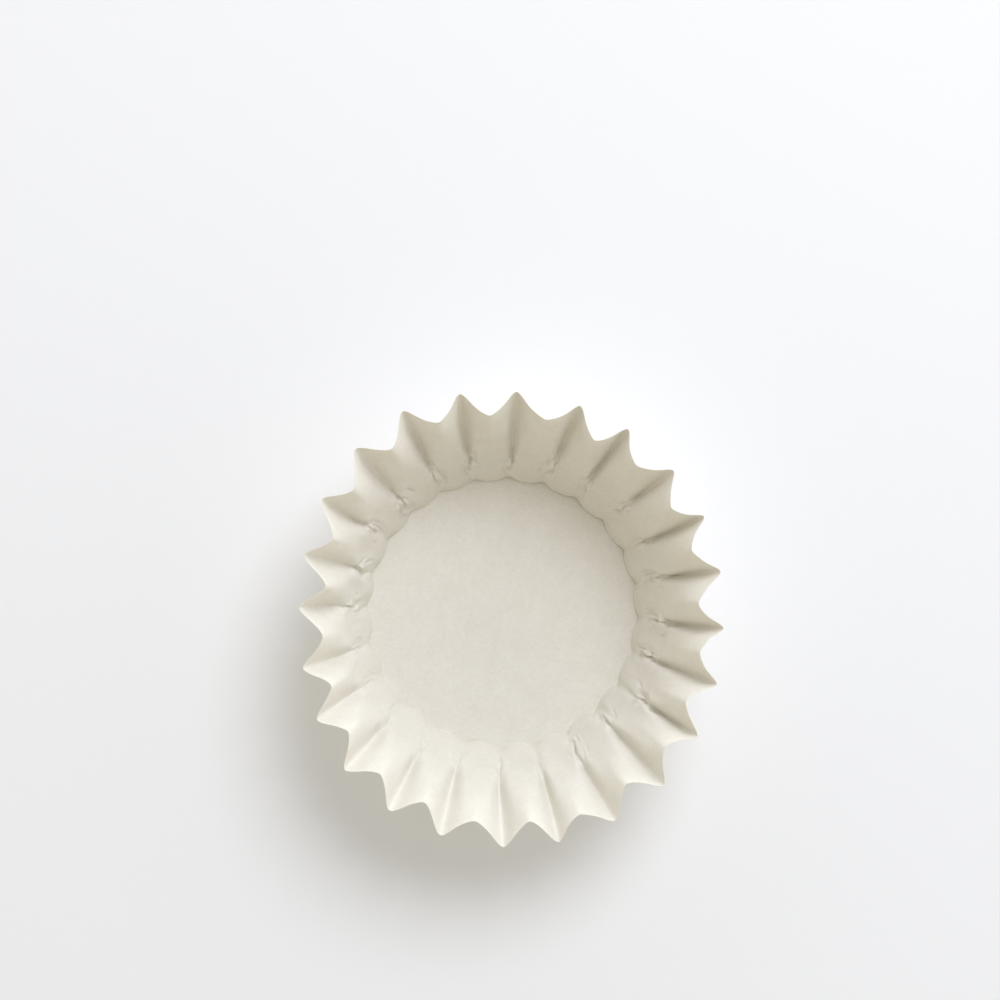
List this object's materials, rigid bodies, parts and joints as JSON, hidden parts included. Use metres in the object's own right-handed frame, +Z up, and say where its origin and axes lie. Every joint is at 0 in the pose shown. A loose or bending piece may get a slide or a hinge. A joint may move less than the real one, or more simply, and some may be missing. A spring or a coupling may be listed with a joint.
{
  "type": "paper coffee filter",
  "caption": "Basket coffee filter of warm white filter paper: a flat round base and a flaring wall of radial flutes, open at the top.",
  "frame": {"origin": "centre of the base's underside, in the middle of the fold round it", "axes": "+Z up through the open top, +Y along the rim's longer diameter, to within 8 degrees"},
  "size_m": [0.1676, 0.1798, 0.0583],
  "materials": {
    "filter_paper": "matte"
  },
  "bodies": {
    "root": {"coffee_filter": "filter_paper"}
  },
  "joints": []
}
